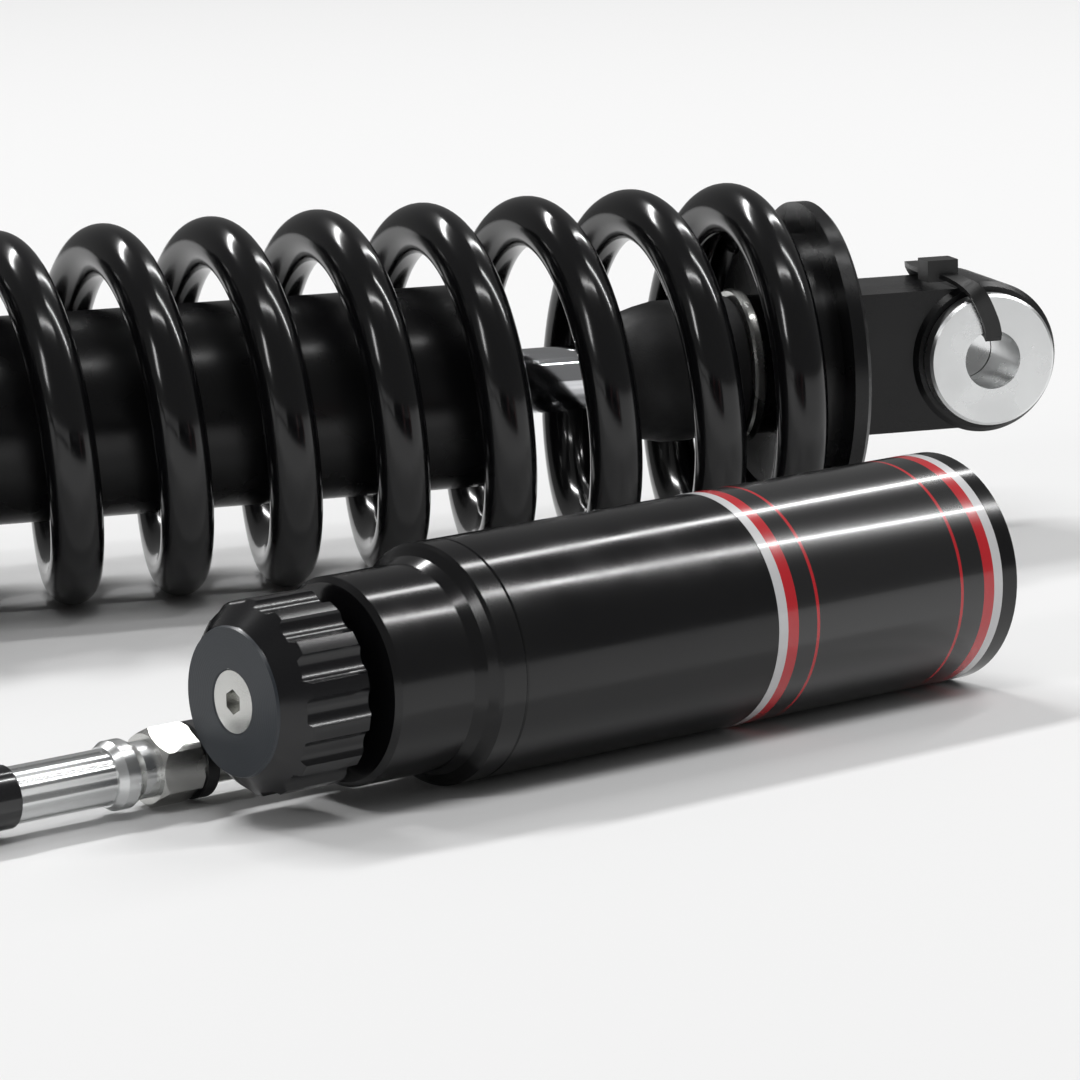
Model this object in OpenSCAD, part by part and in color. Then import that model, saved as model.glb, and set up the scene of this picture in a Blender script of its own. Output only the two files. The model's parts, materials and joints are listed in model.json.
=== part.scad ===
// Coil-over rear shock with a remote gas reservoir on a flexible hose.
// Millimetres. Origin: centre of the lower eye bore. +X runs along the shock
// away from the upper eye, +Y along both eye bores, +Z up.

/* [Damper] */
// Distance between the two eye centres
eye_to_eye = 330; // [280:1:400]
// Outside diameter of the damper tube
tube_od = 43.4; // [40:0.1:48]
// Bore of the damper tube
tube_id = 36; // [30:0.5:38]
// Diameter of the piston rod
rod_d = 14; // [10:0.5:18]
// Distance from the lower eye centre to the seal head's outer face
head_to_eye = 107; // [90:1:130]
// Compression stroke
travel = 42; // [20:1:50]
// Diameter of the bump stop
bump_d = 30.5; // [24:0.5:40]
// Length of the bump stop
bump_len = 31; // [20:1:40]

/* [Spring] */
// Inside diameter of the coil spring
spring_id = 57.2; // [56:0.1:64]
// Wire diameter
wire_d = 11; // [8:0.25:13]
// Distance from the lower eye centre to the spring's ground end
spring_seat_x = 38; // [32:1:50]
// Spring length as fitted
spring_len = 217; // [200:1:260]
// Active coils
coils = 9; // [6:0.5:11]
// Thickness of the preload and lock rings
ring_w = 11; // [8:0.5:16]

/* [Eyes] */
// Mounting bolt bore
eye_bore = 12.7; // [8:0.1:14]
// Height of the eye
eye_h = 33; // [28:0.5:40]
// Width of the eye
eye_w = 26; // [20:0.5:34]
// Diameter of the spacer flange
flange_d = 28.7; // [22:0.1:32]
// Thickness of the spacer flange
flange_t = 4; // [2:0.5:6]

/* [Reservoir] */
// Outside diameter of the reservoir
res_od = 44; // [40:0.5:60]
// Bore of the reservoir
res_id = 39; // [30:0.5:52]
// Distance from the knob face to the reservoir's gas end
res_len = 168; // [130:1:200]
// Position of the knob face along X
res_x = -216; // [-240:1:-160]
// Position of the knob face along Y
res_y = -204; // [-300:1:-150]
// Heading of the reservoir in plan, degrees from +X
res_heading = 22; // [0:1:40]
// Diameter of the adjuster knob
knob_d = 35; // [28:0.5:42]
// Diameter of the neck behind the knob
neck_d = 37.7; // [28:0.1:42]

/* [Hose] */
// Outside diameter of the hose
hose_d = 11.5; // [8:0.5:14]
// Across flats of the hose nut
nut_af = 12.7; // [11:0.1:17]

/* [Clearances] */
// Radial clearance of sliding and turning fits
run_c = 0.05; // [0.02:0.01:0.1]
// Gap between faces that turn against each other
face_c = 0.3; // [0.2:0.05:0.6]

/* [Hidden] */
tr = tube_od / 2;
ti = tube_id / 2;
rr = rod_d / 2;
spring_r = spring_id / 2 + wire_d / 2;
spring_out = spring_id / 2 + wire_d;
floor_z = -spring_out;
upper_x = -eye_to_eye;
eye_r = eye_h / 2;
spacer_r = 8;
bush_r = 11;
head_x = -head_to_eye;
head_in = head_x - 24;
tube_x0 = upper_x + 26;
tube_x1 = head_x - 4;
perch_x = -spring_seat_x - spring_len;
ring_r = spring_out - 1;
ring_bore = tr + 1 + run_c;
piston_x = head_in - 28;
bump_x1 = -spring_seat_x - 16;
bump_x0 = bump_x1 - bump_len;
rres = res_od / 2;
res_z = floor_z + rres;
s_knob = 17.6;
s_neck = 22;
s_flange = 42.5;
s_seam = 48.4;
hose_side = 20.4;
hose_down = -14.5;
hose_off = norm([hose_side, hose_down]);
hose_tilt = atan2(-hose_down, hose_side);
port_x = upper_x + 20;
port_y = -34;
hr = hose_d / 2;
ux = cos(res_heading);
uy = sin(res_heading);
// The hose leaves the reservoir fitting here and runs on the ground
fit_s = -30;
fit_shift = -4.5;
stem_s = 34.5;
hx = res_x + (fit_s + fit_shift) * ux - hose_side * uy;
hy = res_y + (fit_s + fit_shift) * uy + hose_side * ux;
hz = res_z + hose_down;
hose_pts = [
    [hx, hy, hz], [hx - 6 * ux, hy - 6 * uy, hz], [hx - 18 * ux, hy - 18 * uy, hz],
    [-300, -218, hz], [-350, -226, hz], [-394, -208, hz], [-410, -166, hz],
    [-394, -128, hz + 2], [-358, -110, hz + 10], [-324, -98, hz + 22],
    [port_x, port_y - 48, -3], [port_x, port_y - 39, -0.4], [port_x, port_y - 32, 0], [port_x, port_y - 26.1, 0]];

/* [Show] */
// Sub-part to draw

// Turned body about the X axis; each point is [x, radius]
module turn_x(p, fn = 96) {
    rotate([0, 90, 0]) rotate_extrude($fn = fn)
        polygon([for (q = p) [q[1], q[0]]]);
}
// Plain ring about the X axis
module ring_x(x0, x1, ri, ro, ch = 0) {
    turn_x([[x0, ri], [x1, ri], [x1, ro - ch], [x1 - ch, ro], [x0 + ch, ro], [x0, ro - ch]]);
}
module ring_y(y0, y1, ri, ro, ch = 0) { rotate([0, 0, 90]) ring_x(y0, y1, ri, ro, ch); }
// Reservoir frame: x from the knob face towards the gas end
module at_res() {
    translate([res_x, res_y, res_z]) rotate([0, 0, res_heading]) children();
}
// Hose fitting frame, beside and below the reservoir axis
module at_fit() { at_res() translate([fit_shift, hose_side, hose_down]) children(); }
module hex_x(x0, x1, af, bore) {
    difference() {
        intersection() {
            rotate([0, 90, 0]) translate([0, 0, x0]) cylinder(r = af / 2 / cos(30), h = x1 - x0, $fn = 6);
            turn_x([[x0, 0], [x1, 0], [x1, af / 2], [x1 - 1.1, af / 1.72], [x0 + 1.1, af / 1.72], [x0, af / 2]], 48);
        }
        if (bore > 0) rotate([0, 90, 0]) translate([0, 0, x0 - 1]) cylinder(r = bore, h = x1 - x0 + 2, $fn = 48);
    }
}
// Rounded path through points: Catmull-Rom, then a swept tube of n sides
function cr(p, i, t) = let (a = p[max(i - 1, 0)], b = p[i], c = p[i + 1], d = p[min(i + 2, len(p) - 1)])
    0.5 * (2 * b + (c - a) * t + (2 * a - 5 * b + 4 * c - d) * t * t + (3 * b - a - 3 * c + d) * t * t * t);
function path_of(p, k) = concat([for (i = [0:len(p) - 2]) for (j = [0:k - 1]) cr(p, i, j / k)], [p[len(p) - 1]]);
function unit(v) = v / norm(v);
function tangent(q, i) = unit(q[min(i + 1, len(q) - 1)] - q[max(i - 1, 0)]);
function side_of(t, up) = unit(cross(t, up));
// Closed tube along a path; radii ra along side and up directions
module sweep(q, r, n, up = [0, 0, 1]) {
    m = len(q);
    v = [for (i = [0:m - 1]) let (t = tangent(q, i), s = side_of(t, up), w = cross(s, t))
        for (k = [0:n - 1]) q[i] + r * (cos(360 * k / n) * s + sin(360 * k / n) * w)];
    f = concat([[for (k = [0:n - 1]) k]],
        [for (i = [0:m - 2]) for (k = [0:n - 1]) [i * n + k, (i + 1) * n + k, (i + 1) * n + (k + 1) % n]],
        [for (i = [0:m - 2]) for (k = [0:n - 1]) [i * n + k, (i + 1) * n + (k + 1) % n, i * n + (k + 1) % n]],
        [[for (k = [n - 1:-1:0]) (m - 1) * n + k]]);
    polyhedron(points = v, faces = f);
}

module damper_tube() color([0.03, 0.03, 0.035]) turn_x([
    [tube_x0, ti], [tube_x1, ti], [tube_x1, tr - 0.6], [tube_x1 - 0.6, tr],
    [perch_x + 8, tr], [perch_x + 7, tr + 1], [tube_x0, tr + 1]]);
module eye_block(cx, dir, reach) {
    difference() {
        union() {
            translate([cx, 0, 0]) ring_y(-eye_w / 2, eye_w / 2, 0, eye_r, 1);
            translate([min(cx, cx + dir * reach), -eye_w / 2 + 1, -eye_r + 1.2])
                cube([reach, eye_w - 2, eye_h - 2.4]);
        }
        translate([cx, 0, 0]) rotate([90, 0, 0]) cylinder(r = bush_r, h = eye_w + 2, center = true, $fn = 96);
    }
}
module upper_eye_cap() color([0.03, 0.03, 0.035]) difference() {
    union() {
        eye_block(upper_x, 1, eye_r + 3);
        turn_x([[upper_x + 16.5, 0], [tube_x0 + 14, 0], [tube_x0 + 14, ti - 0.8], [tube_x0 + 13, ti], [tube_x0, ti],
            [tube_x0, tr + 3], [tube_x0 - 1.5, tr + 4], [upper_x + 17, tr + 4], [upper_x + 15, tr + 2], [upper_x + 15, bush_r + 6], [upper_x + 16.5, 8]]);
    }
    translate([port_x, 0, 0]) rotate([90, 0, 0]) cylinder(r = 4, h = tr + 10, $fn = 48);
    rotate([0, 90, 0]) translate([0, 0, port_x]) cylinder(r = 4, h = 40, $fn = 48);
    translate([upper_x, 0, 0]) rotate([90, 0, 0]) cylinder(r = bush_r, h = 80, center = true, $fn = 96);
}
module seal_head() color([0.05, 0.05, 0.055]) turn_x([
    [head_in, rr + 1.5], [head_in + 10, rr + 1.5], [head_in + 10, rr + 4], [head_in + 14, rr + 4],
    [head_in + 14, rr + run_c + 0.6], [head_x - 3, rr + run_c + 0.6], [head_x - 3, rr + 3], [head_x, rr + 3], [head_x, tr - 2.5], [head_x - 1.5, tr - 0.5],
    [tube_x1, tr - 0.5], [tube_x1, ti], [head_in + 1, ti], [head_in, ti - 1]]);
module rod_guide_bush() color([0.6, 0.45, 0.2]) ring_x(head_in, head_in + 10, rr + run_c, rr + 1.5);
module rod_seal() color([0.1, 0.1, 0.1]) ring_x(head_in + 10, head_in + 14, rr + run_c, rr + 4);
module rod_wiper() color([0.1, 0.1, 0.1]) turn_x([[head_x - 3, rr + run_c], [head_x + 0.8, rr + run_c], [head_x, rr + 3], [head_x - 3, rr + 3]]);

// Right-handed helix with closed, ground ends
spring_phase = 50;
function helix_x(t) = t < 1 ? wire_d * 1.0 * t : t > coils ? wire_d + pitch_mid * (coils - 1) + wire_d * (t - coils) : wire_d + pitch_mid * (t - 1);
pitch_mid = (spring_len - wire_d * 2.9) / (coils - 1);
helix = [for (i = [0:18 * (coils + 1)]) let (t = i / 18, a = 360 * t + spring_phase)
    [perch_x + wire_d * 0.45 + helix_x(t), spring_r * cos(a), spring_r * sin(a)]];
module coil_spring() color([0.02, 0.02, 0.022]) intersection() {
    sweep_radial(helix, wire_d / 2, 12);
    rotate([0, 90, 0]) translate([0, 0, perch_x]) cylinder(r = spring_out + 5, h = spring_len, $fn = 32);
}
// Tube around the X axis whose sections stay square to the axis
module sweep_radial(q, r, n) {
    m = len(q);
    v = [for (i = [0:m - 1]) let (o = unit([0, q[i][1], q[i][2]]), t = tangent(q, i), w = unit(cross(t, o)))
        for (k = [0:n - 1]) q[i] + r * (cos(360 * k / n) * o + sin(360 * k / n) * w)];
    f = concat([[for (k = [n - 1:-1:0]) k]],
        [for (i = [0:m - 2]) for (k = [0:n - 1]) [i * n + k, (i + 1) * n + (k + 1) % n, (i + 1) * n + k]],
        [for (i = [0:m - 2]) for (k = [0:n - 1]) [i * n + k, i * n + (k + 1) % n, (i + 1) * n + (k + 1) % n]],
        [[for (k = [0:n - 1]) (m - 1) * n + k]]);
    polyhedron(points = v, faces = f);
}
module spring_slip_washer() color([0.75, 0.75, 0.78]) ring_x(perch_x - 1.5, perch_x - 0.02, ring_bore + 1, spring_out - 2);
module upper_eye_bush() color([0.08, 0.08, 0.08]) translate([upper_x, 0, 0]) ring_y(-eye_w / 2, eye_w / 2, spacer_r, bush_r);
module lower_eye_bush() color([0.08, 0.08, 0.08]) ring_y(-eye_w / 2, eye_w / 2, spacer_r, bush_r);
module spacer(cx, d) color([0.78, 0.79, 0.8]) translate([cx, 0, 0]) scale([1, d, 1]) rotate([0, 0, 90]) turn_x([
    [0.3, eye_bore / 2], [eye_w / 2 + face_c + flange_t, eye_bore / 2], [eye_w / 2 + face_c + flange_t, flange_d / 2 - 0.6],
    [eye_w / 2 + face_c + flange_t - 0.6, flange_d / 2], [eye_w / 2 + face_c, flange_d / 2],
    [eye_w / 2 + face_c, spacer_r - run_c], [0.3, spacer_r - run_c]]);
module lower_spacer_left() spacer(0, -1);
module lower_spacer_right() spacer(0, 1);
module upper_spacer_left() spacer(upper_x, -1);
module upper_spacer_right() spacer(upper_x, 1);

// Hose end on the damper: port, nut and crimped ferrule along Y
module body_port() color([0.75, 0.76, 0.78]) translate([port_x, 0, 0]) ring_y(port_y + 4, -tr - 2, 2.5, 4) ;
module body_hose_nut() color([0.75, 0.76, 0.78]) translate([port_x, 0, 0]) rotate([0, 0, 90]) hex_x(port_y - 4, port_y + 5, nut_af, 4);
module body_ferrule() color([0.8, 0.81, 0.82]) translate([port_x, 0, 0]) ring_y(port_y - 26, port_y - 4, hr - 2.5, hr + 1.2, 0.4);
hose_path = path_of(hose_pts, 5);
module hose() color([0.02, 0.02, 0.02]) sweep(hose_path, hr - 0.05, 12);
module reservoir_ferrule() color([0.8, 0.81, 0.82]) at_fit() turn_x([[fit_s, 0], [-9.5, 0], [-9.5, 5.1], [fit_s, 5.1]], 48);
module reservoir_hose_collar() color([0.8, 0.81, 0.82]) at_fit() turn_x([[-9.5, 0], [-0.5, 0], [-0.5, 5.2], [-3.5, 5.2], [-5.5, 6.3], [-8, 6.3], [-9.5, 5.4]], 48);
module reservoir_hose_nut() color([0.75, 0.76, 0.78]) at_fit() hex_x(-0.5, 8.5, nut_af, 0);
module reservoir_port_seal() color([0.02, 0.02, 0.02]) at_fit() ring_x(8.5, 11, 5, 7);
module reservoir_port() color([0.75, 0.76, 0.78]) at_fit() union() {
    turn_x([[8.5, 0], [stem_s, 0], [stem_s, 5], [8.5, 5]], 48);
    translate([stem_s, 0, 0]) sphere(r = 5, $fn = 32);
    translate([stem_s, 0, 0]) rotate([180 - hose_tilt, 0, 0]) rotate([-90, 0, 0]) cylinder(r = 4.2, h = hose_off - neck_d / 2 + 0.0, $fn = 48);
}
module reservoir_cap() color([0.03, 0.03, 0.035]) at_res() turn_x([
    [s_neck, 4 + run_c], [s_seam + 12, 4 + run_c], [s_seam + 12, res_id / 2 - 1], [s_seam + 11, res_id / 2], [s_seam, res_id / 2],
    [s_seam, rres - 0.3], [s_seam - 0.3, rres], [s_flange + 0.6, rres], [s_flange, rres - 0.6], [s_flange - 1.2, neck_d / 2 + 1],
    [s_flange - 3.6, neck_d / 2], [s_neck + 1, neck_d / 2], [s_neck, neck_d / 2 - 1]]);
module cap_o_ring() color([0.02, 0.02, 0.02]) at_res() ring_x(s_seam + 12, s_seam + 14, res_id / 2 - 3, res_id / 2);
module reservoir_tube() color([0.03, 0.03, 0.035]) at_res() turn_x([
    [s_seam, res_id / 2], [res_len, res_id / 2], [res_len, rres - 0.6], [res_len - 0.6, rres], [s_seam + 0.3, rres], [s_seam, rres - 0.3]]);
module gas_end_cap() color([0.05, 0.05, 0.055]) at_res() turn_x([
    [res_len - 16, 5], [res_len - 4, 5], [res_len - 4, res_id / 2], [res_len - 16, res_id / 2]]);
module gas_cap_o_ring() color([0.02, 0.02, 0.02]) at_res() ring_x(res_len - 18.5, res_len - 16, res_id / 2 - 3, res_id / 2);
module gas_cap_clip() color([0.6, 0.6, 0.62]) at_res() ring_x(res_len - 4, res_len - 2.6, res_id / 2 - 2.4, res_id / 2);
module gas_valve() color([0.75, 0.7, 0.5]) at_res() turn_x([[res_len - 16, 1.5], [res_len - 9, 1.5], [res_len - 9, 5], [res_len - 16, 5]], 48);
module valve_cap() color([0.05, 0.05, 0.05]) at_res() ring_x(res_len - 9, res_len - 1.5, 1.5, 4.2, 0.6);
module floating_piston() color([0.7, 0.7, 0.72]) at_res() turn_x([
    [s_seam + 50, 0], [s_seam + 53, 0], [s_seam + 53, 12], [s_seam + 64, 12], [s_seam + 64, res_id / 2 - 1.2],
    [s_seam + 50, res_id / 2 - 1.2]]);
module floating_band() color([0.1, 0.1, 0.1]) at_res() ring_x(s_seam + 54, s_seam + 60, res_id / 2 - 1.2, res_id / 2 - run_c);
module adjuster_knob() color([0.04, 0.04, 0.045]) at_res() difference() {
    turn_x([[0, 0], [s_knob, 0], [s_knob, knob_d / 2 - 0.6], [s_knob - 0.6, knob_d / 2], [5, knob_d / 2], [0.6, 13.5], [0, 13.2]], 96);
    for (k = [0:13]) rotate([360 * (k + 0.5) / 14, 0, 0]) translate([4, 0, knob_d / 2 + 1.6]) rotate([0, 90, 0]) cylinder(r = 3.2, h = 20, $fn = 24);
    rotate([0, 90, 0]) translate([0, 0, -1]) cylinder(r = 2.5, h = 25, $fn = 32);
    turn_x([[-0.1, 0], [3.4, 0], [3.4, 2.5], [-0.1, 6]], 48);
}
module knob_screw() color([0.8, 0.8, 0.82]) at_res() difference() {
    turn_x([[0.2, 0], [12, 0], [12, 2.5], [3.3, 2.5], [0.2, 5.6]], 48);
    rotate([0, 90, 0]) translate([0, 0, 0]) cylinder(r = 2.3, h = 2.8, $fn = 6);
}
module adjuster_stem() color([0.75, 0.76, 0.78]) at_res() turn_x([[12, 0], [s_seam + 12, 0], [s_seam + 12, 4], [s_knob, 4], [s_knob, 2.5], [12, 2.5]], 48);

// Threaded collars on the damper body
module notched(x0, x1, r) difference() {
    ring_x(x0, x1, ring_bore, r, 0.8);
    for (k = [0:7]) rotate([45 * k, 0, 0]) translate([(x0 + x1) / 2, 0, r + 0.5]) rotate([0, 90, 0]) cylinder(r = 3.4, h = x1 - x0 + 2, center = true, $fn = 24);
}
module preload_ring() color([0.04, 0.04, 0.045]) notched(perch_x - 1.5 - face_c - ring_w, perch_x - 1.5 - face_c, ring_r - 3);
module lock_ring() color([0.04, 0.04, 0.045]) notched(perch_x - 1.5 - 2 * face_c - 1.7 * ring_w, perch_x - 1.5 - 2 * face_c - ring_w, ring_r - 7);

// Rod assembly
module rod() color([0.85, 0.85, 0.87]) turn_x([[piston_x - 8, 0], [-eye_r - 6, 0], [-eye_r - 6, rr - 1], [-eye_r - 7, rr], [piston_x + 15, rr], [piston_x + 15, 5], [piston_x - 8, 5]]);
module main_piston() color([0.7, 0.7, 0.72]) ring_x(piston_x, piston_x + 12, 5, ti - 1.2);
module piston_band() color([0.35, 0.25, 0.12]) ring_x(piston_x + 1, piston_x + 11, ti - 1.2, ti - run_c);
module compression_shims() color([0.6, 0.6, 0.63]) turn_x([[piston_x + 12, 5], [piston_x + 15, 5], [piston_x + 15, 8], [piston_x + 12, 13]]);
module rebound_shims() color([0.6, 0.6, 0.63]) turn_x([[piston_x - 2, 5], [piston_x, 5], [piston_x, 12], [piston_x - 2, 8]]);
module piston_nut() color([0.75, 0.76, 0.78]) hex_x(piston_x - 9, piston_x - 2, 17, 5);
module travel_o_ring() color([0.1, 0.1, 0.1]) ring_x(head_x + 0.9, head_x + 3.9, rr + run_c, rr + 2.4, 0.8);
module bump_stop() color([0.03, 0.03, 0.03]) turn_x([
    [bump_x0, rr + 0.0], [bump_x1, rr + 0.0], [bump_x1, bump_d / 2 - 1], [bump_x1 - 1, bump_d / 2], [bump_x0 + 14, bump_d / 2],
    [bump_x0 + 8, bump_d / 2 - 1.4], [bump_x0 + 3, bump_d / 2 - 4], [bump_x0, bump_d / 2 - 5]]);
module bump_washer() color([0.75, 0.76, 0.78]) ring_x(bump_x1, bump_x1 + 2.5, rr, bump_d / 2 + 1.5, 0.5);
module lower_spring_seat() color([0.05, 0.05, 0.055]) turn_x([
    [bump_x1 + 2.5, rr], [-spring_seat_x + 4, rr], [-spring_seat_x + 4, spring_out - 6], [-spring_seat_x + 3, spring_out - 5], [-spring_seat_x + 0.02, spring_out - 5],
    [-spring_seat_x + 0.02, spring_id / 2 - 0.9], [-spring_seat_x - 8, spring_id / 2 - 0.9], [-spring_seat_x - 10, spring_id / 2 - 3], [-spring_seat_x - 8, rr + 8], [bump_x1 + 2.5, rr + 8]]);
module seat_clip() color([0.6, 0.6, 0.62]) ring_x(-spring_seat_x + 4, -spring_seat_x + 6, rr, rr + 5);
module lower_eye() color([0.03, 0.03, 0.035]) difference() {
    eye_block(0, -1, spring_seat_x - 6);
    rotate([0, 90, 0]) translate([0, 0, -spring_seat_x - 5]) cylinder(r = rr, h = spring_seat_x + 5 - eye_r - 6, $fn = 96);
}

damper_tube();
upper_eye_cap();
seal_head();
rod_seal();
rod_guide_bush();
rod_wiper();
coil_spring();
spring_slip_washer();
upper_eye_bush();
body_port();
body_hose_nut();
body_ferrule();
hose();
reservoir_ferrule();
reservoir_hose_collar();
reservoir_hose_nut();
reservoir_port_seal();
reservoir_port();
reservoir_cap();
cap_o_ring();
reservoir_tube();
gas_end_cap();
gas_cap_o_ring();
gas_cap_clip();
gas_valve();
valve_cap();
rod();
main_piston();
piston_band();
compression_shims();
rebound_shims();
piston_nut();
travel_o_ring();
bump_stop();
bump_washer();
lower_spring_seat();
seat_clip();
lower_eye();
lower_eye_bush();
lower_spacer_left();
lower_spacer_right();
upper_spacer_left();
upper_spacer_right();
preload_ring();
lock_ring();
adjuster_knob();
knob_screw();
adjuster_stem();
floating_piston();
floating_band();
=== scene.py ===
import bpy
import json
import math
import numpy as np
from mathutils import Matrix, Vector


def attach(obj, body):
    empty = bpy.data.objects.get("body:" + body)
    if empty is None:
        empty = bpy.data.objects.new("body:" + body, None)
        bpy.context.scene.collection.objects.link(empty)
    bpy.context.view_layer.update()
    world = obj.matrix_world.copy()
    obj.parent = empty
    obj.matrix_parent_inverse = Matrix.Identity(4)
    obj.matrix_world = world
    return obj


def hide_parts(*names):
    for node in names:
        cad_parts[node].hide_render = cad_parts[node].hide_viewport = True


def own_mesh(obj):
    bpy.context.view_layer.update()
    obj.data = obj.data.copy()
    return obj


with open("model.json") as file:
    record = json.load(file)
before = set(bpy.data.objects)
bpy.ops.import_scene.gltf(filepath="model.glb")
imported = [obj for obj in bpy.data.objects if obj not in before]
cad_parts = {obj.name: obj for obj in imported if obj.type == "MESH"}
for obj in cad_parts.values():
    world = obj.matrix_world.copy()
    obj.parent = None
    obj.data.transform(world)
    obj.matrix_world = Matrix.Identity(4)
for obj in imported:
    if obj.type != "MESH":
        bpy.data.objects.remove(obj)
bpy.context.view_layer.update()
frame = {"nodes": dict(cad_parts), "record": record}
nodes = frame["nodes"]

# Sizes in metres, in the row frame
SPRING_IN, WIRE_R = 0.0286, 0.0055
SPRING_R = SPRING_IN + WIRE_R
FLOOR_Z = -(SPRING_IN + 2 * WIRE_R)
PERCH_X, SEAT_X = -0.255, -0.038
RES_R = 0.022
LABEL = (0.1073, 0.1636)
HEADING = math.radians(22)
AXIS = np.array([math.cos(HEADING), math.sin(HEADING), 0.0])
KNOB = np.array([-0.216, -0.204, FLOOR_Z + RES_R])
ASIDE = np.array([-AXIS[1], AXIS[0], 0.0])
UP = np.array([0.0, 0.0, 1.0])
SPRING_TURNS, SPRING_PHASE = 10.0, math.radians(50)
FIT_SIDE, FIT_DOWN = 0.0204, -0.0145
PORT_X = -0.310
HOSE_R = 0.00570

# ---------------------------------------------------------------- camera
LENS_MM, SHIFT_Y = 36 * 5478.4 / 1080, -15 / 1080
YAW, PITCH, ROLL, DIST = 0.2917, 0.1892, -0.0257, 1.18054
AIM = Vector((-0.09789, 0.0006, 0.00792 + FLOOR_Z))


def camera():
    """Camera at DIST from AIM, turned by yaw, pitch and roll."""
    level = math.cos(PITCH)
    forward = Vector((math.sin(YAW) * level, math.cos(YAW) * level, -math.sin(PITCH)))
    right = Vector((math.cos(YAW), -math.sin(YAW), 0))
    up = right.cross(forward)
    r2 = right * math.cos(ROLL) + up * math.sin(ROLL)
    u2 = -right * math.sin(ROLL) + up * math.cos(ROLL)
    data = bpy.data.cameras.new("camera")
    data.sensor_width = 36
    data.lens = LENS_MM
    data.shift_y = SHIFT_Y
    data.clip_end = 20
    cam = bpy.data.objects.new("camera", data)
    bpy.context.scene.collection.objects.link(cam)
    turn = Matrix((r2, u2, -forward)).transposed().to_4x4()
    cam.matrix_world = Matrix.Translation(AIM - forward * DIST) @ turn
    bpy.context.scene.camera = cam


camera()


# ---------------------------------------------------------------- shader helpers
class S:
    """A shader value; operators make math nodes."""

    def __init__(self, mat, sock):
        self.m, self.s = mat, sock

    def op(self, kind, *others):
        n = self.m.nodes.new("ShaderNodeMath")
        n.operation = kind
        for i, v in enumerate((self,) + others):
            if isinstance(v, S):
                self.m.links.new(v.s, n.inputs[i])
            else:
                n.inputs[i].default_value = v
        return S(self.m, n.outputs[0])

    def __add__(self, o):
        return self.op("ADD", o)

    def __sub__(self, o):
        return self.op("SUBTRACT", o)

    def __mul__(self, o):
        return self.op("MULTIPLY", o)

    def gt(self, o):
        return self.op("GREATER_THAN", o)

    def lt(self, o):
        return self.op("LESS_THAN", o)


class Mat:
    """A Principled material and its node tree."""

    def __init__(self, name, color, rough, metal=0.0, **extra):
        self.mat = bpy.data.materials.new(name)
        self.mat.use_nodes = True
        self.t = self.mat.node_tree
        self.nodes, self.links = self.t.nodes, self.t.links
        self.p = self.nodes["Principled BSDF"]
        self.set(Base_Color=(*color, 1), Roughness=rough, Metallic=metal, **extra)

    def set(self, **values):
        for k, v in values.items():
            sock = self.p.inputs[k.replace("_", " ")]
            if isinstance(v, S):
                self.links.new(v.s, sock)
            else:
                sock.default_value = v

    def node(self, kind, props=None, out=0, **inputs):
        n = self.nodes.new(kind)
        for k, v in (props or {}).items():
            setattr(n, k, v)
        for k, v in inputs.items():
            sock = n.inputs[k.replace("_", " ")]
            if isinstance(v, S):
                self.links.new(v.s, sock)
            else:
                sock.default_value = v
        return S(self, n.outputs[out])

    def place(self):
        n = self.nodes.new("ShaderNodeTexCoord")
        return S(self, n.outputs["Object"])

    def along(self, vector, way):
        """How far a vector reaches along a unit direction."""
        dot = self.node("ShaderNodeVectorMath", {"operation": "DOT_PRODUCT"}, "Value", Vector=vector)
        dot.s.node.inputs[1].default_value = tuple(way)
        return dot

    def noise(self, scale, detail=4.0, vector=None):
        return self.node("ShaderNodeTexNoise", Scale=scale, Detail=detail, Vector=vector or self.place())

    def remap(self, value, low, high, a=0.3, b=0.7):
        ends = {"From_Min": a, "From_Max": b, "To_Min": low, "To_Max": high}
        return self.node("ShaderNodeMapRange", Value=value, **ends)

    def mix(self, factor, a, b):
        n = self.nodes.new("ShaderNodeMix")
        n.data_type = "RGBA"
        pairs = ((n.inputs[0], factor), (n.inputs[6], a), (n.inputs[7], b))
        for sock, v in pairs:
            if isinstance(v, S):
                self.links.new(v.s, sock)
            else:
                sock.default_value = v if sock is n.inputs[0] else (*v, 1)
        return S(self, n.outputs[2])

    def bump(self, height, strength, distance=0.0002):
        n = self.nodes.new("ShaderNodeBump")
        n.inputs["Strength"].default_value = strength
        n.inputs["Distance"].default_value = distance
        self.links.new(height.s, n.inputs["Height"])
        self.set(Normal=S(self, n.outputs[0]))
        return self


def worn(name, color, rough, metal=0.0, scale=60, spread=0.06, grain=0.03, **extra):
    """A finish with faint cloudiness in its roughness and a fine grain."""
    m = Mat(name, color, rough, metal, **extra)
    m.set(Roughness=m.remap(m.noise(scale), rough - spread, rough + spread))
    return m.bump(m.noise(2500, 2.0), grain)


def knob_finish():
    """Black sides; the flat front is paler with fine turned rings round the reservoir axis."""
    m = Mat("knob_black", (0.004, 0.004, 0.005), 0.2, 0.0)
    pos = m.place()
    rel = m.node("ShaderNodeVectorMath", {"operation": "SUBTRACT"}, Vector=pos)
    rel.s.node.inputs[1].default_value = tuple(KNOB)
    along = m.along(rel, AXIS)
    cross = m.node("ShaderNodeVectorMath", {"operation": "CROSS_PRODUCT"}, Vector=rel)
    cross.s.node.inputs[1].default_value = tuple(AXIS)
    radius = m.node("ShaderNodeVectorMath", {"operation": "LENGTH"}, "Value", Vector=cross)
    wave = (radius * (2 * math.pi / 0.0005)).op("SINE")
    face = along.lt(0.0005)
    m.set(Base_Color=m.mix(face, (0.004, 0.004, 0.005), (0.022, 0.027, 0.034)))
    m.set(Roughness=m.remap(face, 0.2, 0.36, 0, 1))
    return m.bump(wave * face, 0.25, 0.00002)


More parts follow.
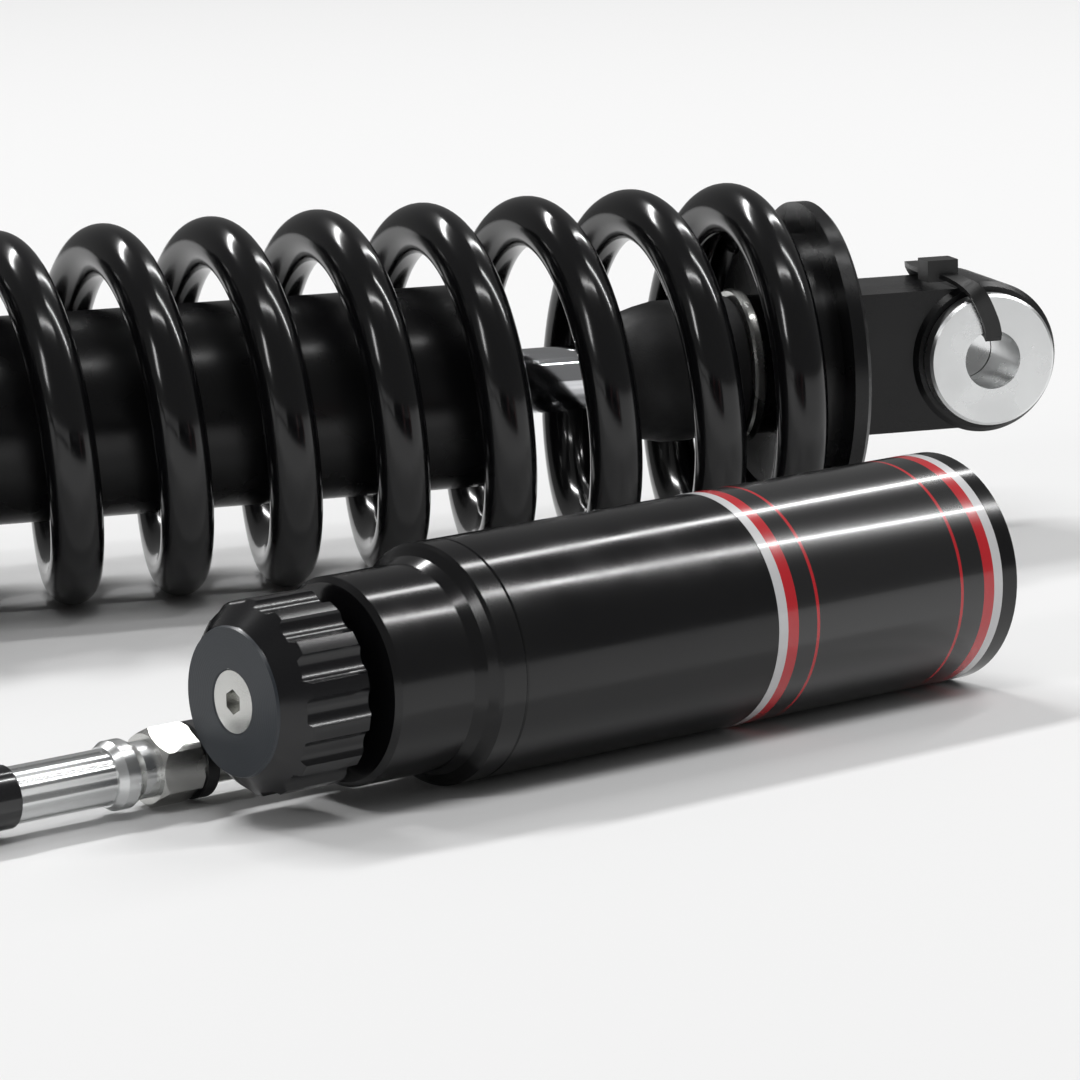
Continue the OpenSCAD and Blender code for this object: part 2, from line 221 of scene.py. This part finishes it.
def ribbed():
    """Bright ferrule with shallow ribs along it, spaced evenly round the fitting's axis."""
    m = Mat("ribbed_ferrule", (0.80, 0.81, 0.81), 0.26, 1.0)
    across = m.along(m.place(), ASIDE)
    high = m.node("ShaderNodeSeparateXYZ", None, "Z", Vector=m.place())
    turn = (high - float(KNOB[2] + FIT_DOWN)).op("ARCTAN2", across - float(KNOB @ ASIDE + FIT_SIDE))
    return m.bump((turn * 10.0).op("SINE"), 0.6, 0.0003)


BLACK = worn("black_anodised", (0.004, 0.004, 0.0045), 0.27, 0.0, Specular_IOR_Level=0.35)
RES_BLACK = worn(
    "reservoir_black", (0.004, 0.004, 0.0045), 0.16, 0.0, 60, 0.04, 0.02, Specular_IOR_Level=0.45
)
GLOSS = worn("spring_gloss", (0.0035, 0.0035, 0.004), 0.15, 0.0, 40, 0.03, 0.01, Specular_IOR_Level=0.5)
STEEL = worn("bright_steel", (0.62, 0.62, 0.60), 0.24, 1.0, 90, 0.08)
ALU = worn("aluminium", (0.80, 0.81, 0.81), 0.30, 1.0, 90, 0.07)
CHROME = worn("rod_chrome", (0.75, 0.76, 0.78), 0.1, 1.0, 60, 0.03, 0.0)
RUBBER = worn("black_rubber", (0.012, 0.012, 0.013), 0.5, 0.0, 120, 0.08, 0.1)
FOAM = worn("bump_foam", (0.014, 0.014, 0.015), 0.6, 0.0, 300, 0.08, 0.25)
HOSE = worn(
    "hose_cover", (0.008, 0.008, 0.009), 0.16, 0.0, 60, 0.04, 0.02, Coat_Weight=0.4, Coat_Roughness=0.08
)
BRONZE = worn("bronze", (0.5, 0.33, 0.14), 0.3, 1.0)
KNOB_MAT = knob_finish()
RIBBED = ribbed()
TIE = worn("tie_nylon", (0.012, 0.012, 0.012), 0.42, 0.0, 80, 0.05, 0.05)
FINISH = {
    "black_anodised": BLACK,
    "spring_gloss": GLOSS,
    "steel": STEEL,
    "aluminium": ALU,
    "rod_chrome": CHROME,
    "seal_rubber": RUBBER,
    "bump_foam": FOAM,
    "hose_cover": HOSE,
    "bronze": BRONZE,
    "knob_black": KNOB_MAT,
}


def dress():
    """Gives every CAD node the material of its record slot."""
    for part in frame["record"]["subparts"]:
        node = nodes[part["node"]]
        mat = FINISH[part["material_slot"]]
        if part["node"].startswith("reservoir_") and part["material_slot"] == "black_anodised":
            mat = RES_BLACK
        if part["node"] == "reservoir_ferrule":
            mat = RIBBED
        node.data.materials.clear()
        node.data.materials.append(mat.mat)


dress()


# ---------------------------------------------------------------- surfaces
def quads(rows, cols):
    """Faces of a grid whose last column joins its first."""
    i, j = np.meshgrid(np.arange(rows - 1), np.arange(cols), indexing="ij")
    a, k = i * cols + j, (j + 1) % cols
    return np.stack([a, i * cols + k, (i + 1) * cols + k, (i + 1) * cols + j], -1).reshape(-1, 4)


def closed_quads(rows, cols):
    """Faces of a grid that joins its last row and column to its first."""
    i, j = np.meshgrid(np.arange(rows), np.arange(cols), indexing="ij")
    n, m = (i + 1) % rows, (j + 1) % cols
    return np.stack([i * cols + j, i * cols + m, n * cols + m, n * cols + j], -1).reshape(-1, 4)


def ring_of(first, second, sides):
    """Unit circle of sides points in the plane of two square unit directions, for every ring."""
    a = np.linspace(0, 2 * np.pi, sides, endpoint=False)
    return np.cos(a)[None, :, None] * first[:, None] + np.sin(a)[None, :, None] * second[:, None]


def tube(path, radius, sides):
    """Round tube: each ring is centre + radius * (cos a * side + sin a * lift).
    Side and lift are square to the path, and side is level."""
    path = np.asarray(path, float)
    t = np.gradient(path, axis=0)
    t /= np.linalg.norm(t, axis=1)[:, None]
    side = np.cross(t, UP)
    side /= np.linalg.norm(side, axis=1)[:, None]
    lift = np.cross(side, t)
    v = (path[:, None] + radius * ring_of(side, lift, sides)).reshape(-1, 3)
    return v, quads(len(path), sides)


def capped(v, f, sides):
    """Closes both ends of a tube with a fan round a centre point."""
    n = len(v)
    first, last = v[:sides].mean(0), v[-sides:].mean(0)
    k = np.arange(sides)
    start = [[n, (j + 1) % sides, j] for j in k.tolist()]
    end = [[n + 1, n - sides + j, n - sides + (j + 1) % sides] for j in k.tolist()]
    return np.vstack([v, first, last]), f.tolist() + start + end


def solid(name, v, f, mat, body):
    """Smooth-shaded mesh from arrays of corners and faces; rides on a body."""
    mesh = bpy.data.meshes.new(name)
    mesh.from_pydata(np.asarray(v, float).tolist(), [], f if isinstance(f, list) else f.tolist())
    mesh.update()
    mesh.polygons.foreach_set("use_smooth", [True] * len(mesh.polygons))
    obj = bpy.data.objects.new(name, mesh)
    bpy.context.scene.collection.objects.link(obj)
    mesh.materials.append(mat.mat)
    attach(obj, body)
    return obj


def spring():
    """Helix of the wire's centre about X: one turn at wire pitch at each end, evenly open between.
    A moving average eases the changes of pitch, and both ends are cut flat at the seats."""
    wire = 2 * WIRE_R
    length = SEAT_X - PERCH_X
    last = SPRING_TURNS - 1
    open_turns = last - 1
    open_pitch = (length - 2.9 * wire) / open_turns
    t = np.linspace(0, SPRING_TURNS, 901)
    middle = wire + open_pitch * (t - 1)
    closing = wire + open_pitch * open_turns + wire * (t - last)
    x = np.where(t < 1, wire * t, np.where(t > last, closing, middle))
    window, pad = 25, 12
    padded = np.pad(x, pad, mode="reflect", reflect_type="odd")
    soft = np.convolve(padded, np.ones(window) / window, "valid")
    a = 2 * np.pi * t + SPRING_PHASE
    path = np.stack([PERCH_X + 0.45 * wire + soft, SPRING_R * np.cos(a), SPRING_R * np.sin(a)], 1)
    tangent = np.gradient(path, axis=0)
    tangent /= np.linalg.norm(tangent, axis=1)[:, None]
    out = path * [0, 1, 1] / SPRING_R
    sides = 40
    v = path[:, None] + WIRE_R * ring_of(out, np.cross(tangent, out), sides)
    v[..., 0] = np.clip(v[..., 0], PERCH_X, SEAT_X)
    v, f = capped(v.reshape(-1, 3), quads(len(path), sides)[:, ::-1], sides)
    f = [q if len(q) == 4 else q[::-1] for q in f]
    obj = solid("coil_spring_smooth", v, f, GLOSS, "damper_body")
    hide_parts("coil_spring")
    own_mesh(obj)


spring()


def catmull(points, steps):
    """Smooth line through points: the Catmull-Rom cubic between each pair, with steps samples a piece."""
    p = np.asarray(points, float)
    q = np.vstack([p[:1], p, p[-1:]])
    t = np.linspace(0, 1, steps, endpoint=False)[:, None]
    parts = []
    for a, b, c, d in zip(q, q[1:], q[2:], q[3:]):
        square, cube = 2 * a - 5 * b + 4 * c - d, 3 * b - a - 3 * c + d
        parts.append(0.5 * (2 * b + (c - a) * t + square * t**2 + cube * t**3))
    return np.vstack(parts + [p[-1:]])


def hose():
    """Round hose: ends flat against the two ferrules, lying on the floor between them."""
    start = KNOB - AXIS * 0.0345 + ASIDE * FIT_SIDE + UP * FIT_DOWN
    z = start[2]
    points = [
        start, start - AXIS * 0.006, start - AXIS * 0.018,
        (-0.300, -0.218, z), (-0.350, -0.226, z), (-0.394, -0.208, z), (-0.410, -0.166, z),
        (-0.394, -0.128, z + 0.002), (-0.358, -0.110, z + 0.010), (-0.324, -0.098, z + 0.022),
        (PORT_X, -0.082, -0.003), (PORT_X, -0.073, -0.0004), (PORT_X, -0.066, 0), (PORT_X, -0.0601, 0),
    ]
    path = catmull(points, 16)
    sides = 32
    v, f = tube(path, HOSE_R, sides)
    v, f = capped(v, f, sides)
    obj = solid("hose_smooth", v, f, HOSE, "damper_body")
    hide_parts("hose")
    length = float(np.linalg.norm(np.diff(path, axis=0), axis=1).sum())
    print("hose length", round(length, 4))


hose()


def turned(profile, sides=96):
    """Turned body about X: each (x, radius) of the closed profile swept round the axis."""
    x, radius = np.array(profile, float).T
    a = np.linspace(0, 2 * np.pi, sides, endpoint=False)
    along = np.broadcast_to(x[:, None], (len(x), sides))
    v = np.stack([along, radius[:, None] * np.cos(a), radius[:, None] * np.sin(a)], -1)
    return v.reshape(-1, 3), closed_quads(len(x), sides)


def bump():
    """Bump stop: a sleeve with a tapered nose and one shallow waist."""
    x1, x0 = -0.054, -0.085
    bore, wide, waist = 0.00702, 0.01525, 0.0148
    nose = [(0, 0.01025), (0.003, 0.0112), (0.006, 0.0132), (0.010, 0.0144), (0.014, wide)]
    groove = [(0.020, wide), (0.022, waist), (0.024, wide)]
    outline = [(x0, bore)] + [(x0 + x, r) for x, r in nose + groove]
    v, f = turned(outline + [(x1 - 0.001, wide), (x1, wide - 0.001), (x1, bore)])
    f = f[:, ::-1]
    obj = solid("bump_stop_soft", v, f, FOAM, "rod_body")
    obj.data.set_sharp_from_angle(angle=0.8)
    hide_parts("bump_stop")
    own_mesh(obj)


bump()


def tie():
    """Cable tie: a flat strap along a loop through the bore and over the eye, and a small head block."""
    loop = [
        (0, -0.0178, 0.0046), (0, -0.0150, 0.0058), (0, -0.0050, 0.0058),
        (0, 0.0150, 0.0058), (0, 0.0180, 0.0070), (-0.002, 0.0186, 0.0120),
        (-0.006, 0.0150, 0.0172), (-0.008, 0.0060, 0.0178), (-0.008, -0.0060, 0.0178),
        (-0.007, -0.0140, 0.0176), (-0.004, -0.0182, 0.0150), (-0.001, -0.0182, 0.0090),
        (0, -0.0180, 0.0050),
    ]
    path = catmull(loop, 8)
    t = np.gradient(path, axis=0)
    t /= np.linalg.norm(t, axis=1)[:, None]
    wide = np.array([1.0, 0, 0]) - t * t[:, :1]
    wide /= np.linalg.norm(wide, axis=1)[:, None]
    thin = np.cross(t, wide)
    half_w, half_t = 0.0018, 0.0005
    corner = np.array([(1, 1), (-1, 1), (-1, -1), (1, -1)], float)
    across = corner[None, :, :1] * half_w * wide[:, None]
    v = path[:, None] + across + corner[None, :, 1:] * half_t * thin[:, None]
    v, f = capped(v.reshape(-1, 3), quads(len(path), 4), 4)
    obj = solid("cable_tie", v, f, TIE, "rod_body")
    obj.data.set_sharp_from_angle(angle=0.6)
    xs, ys, zs = (-0.0122, -0.0052), (-0.0105, -0.0045), (0.0168, 0.0215)
    box = [(x, y, z) for x in xs for y in ys for z in zs]
    faces = [(0, 1, 3, 2), (4, 6, 7, 5), (0, 4, 5, 1), (2, 3, 7, 6), (0, 2, 6, 4), (1, 5, 7, 3)]
    head = solid("cable_tie_head", box, faces, TIE, "rod_body")
    head.data.polygons.foreach_set("use_smooth", [False] * 6)


tie()


def label_mat():
    """Bands by distance along the reservoir: bright edge, red, then black with a thin red line.
    The far end mirrors them."""
    m = Mat("label_film", (0.01, 0.01, 0.011), 0.2, 0.0, Coat_Weight=0.5, Coat_Roughness=0.08)
    s = m.along(m.place(), AXIS) - float(KNOB @ AXIS)
    a, b = LABEL

    def band(x0, x1):
        return s.gt(x0) * s.lt(x1)

    black, red, bright = (0.009, 0.009, 0.0095), (0.52, 0.012, 0.02), (0.62, 0.62, 0.63)
    colour = m.mix(band(a + 0.0022, a + 0.0048) + band(b - 0.0048, b - 0.0022), black, red)
    colour = m.mix(band(a + 0.0093, a + 0.0100) + band(b - 0.0108, b - 0.0101), colour, red)
    edge = band(a - 0.001, a + 0.0022) + band(b - 0.0022, b + 0.001)
    colour = m.mix(edge, colour, bright)
    m.set(Base_Color=colour, Roughness=m.remap(edge, 0.2, 0.3, 0, 1))
    return m


def label():
    """Thin closed shell round the reservoir: inner and outer circles joined at both edges."""
    sides = 160
    under, over = RES_R + 0.00001, RES_R + 0.00006
    prof = [(LABEL[0], under), (LABEL[0], over), (LABEL[1], over), (LABEL[1], under)]
    a = np.linspace(0, 2 * np.pi, sides, endpoint=False)[:, None]
    circle = np.cos(a) * ASIDE + np.sin(a) * UP
    v = np.stack([KNOB + AXIS * s + r * circle for s, r in prof]).reshape(-1, 3)
    f = closed_quads(len(prof), sides)[:, ::-1]
    obj = solid("label_wrap", v, f, label_mat(), "damper_body")
    obj.data.set_sharp_from_angle(angle=0.6)


label()


# ---------------------------------------------------------------- room
def room():
    """Pale floor, and long narrow lights that draw bright lines along the round black parts."""
    m = Mat("floor", (0.83, 0.83, 0.83), 0.6)
    mesh = bpy.data.meshes.new("floor")
    w = 6.0
    corners = [(x, y, FLOOR_Z) for x, y in ((-w, -w), (w, -w), (w, w), (-w, w))]
    mesh.from_pydata(corners, [], [(0, 1, 2, 3)])
    obj = bpy.data.objects.new("floor", mesh)
    bpy.context.scene.collection.objects.link(obj)
    mesh.materials.append(m.mat)

    def area(name, at, aim, size, power):
        data = bpy.data.lights.new(name, "AREA")
        data.shape = "RECTANGLE"
        data.size, data.size_y = size
        data.energy = power
        o = bpy.data.objects.new(name, data)
        bpy.context.scene.collection.objects.link(o)
        d = Vector(aim) - Vector(at)
        o.matrix_world = Matrix.Translation(at) @ d.to_track_quat("-Z", "Y").to_matrix().to_4x4()

    area("key", (-0.75, 1.5, 2.3), (-0.1, -0.05, 0), (1.5, 0.22), 44)
    area("strip", (-0.2, -1.0, 2.2), (-0.15, -0.1, 0), (1.8, 0.07), 12)
    area("long", (1.75, -0.25, 2.2), (-0.15, -0.15, 0), (0.10, 2.0), 26)
    area("edge", (1.4, 1.3, 1.9), (-0.15, -0.15, 0), (0.12, 1.6), 14)
    area("side", (-2.2, -1.2, 1.0), (-0.15, -0.1, 0), (0.3, 0.8), 9)
    world = bpy.data.worlds.new("world")
    bpy.context.scene.world = world
    world.use_nodes = True
    nt = world.node_tree
    bg = nt.nodes["Background"]
    bg.inputs["Color"].default_value = (0.9, 0.9, 0.9, 1)
    bg.inputs["Strength"].default_value = 0.2
    seen = nt.nodes.new("ShaderNodeBackground")
    seen.inputs["Color"].default_value = (0.88, 0.88, 0.88, 1)
    seen.inputs["Strength"].default_value = 1.0
    path = nt.nodes.new("ShaderNodeLightPath")
    mix = nt.nodes.new("ShaderNodeMixShader")
    nt.links.new(path.outputs["Is Camera Ray"], mix.inputs[0])
    nt.links.new(bg.outputs[0], mix.inputs[1])
    nt.links.new(seen.outputs[0], mix.inputs[2])
    nt.links.new(mix.outputs[0], nt.nodes["World Output"].inputs["Surface"])
    bpy.context.scene.view_settings.view_transform = "Standard"


room()
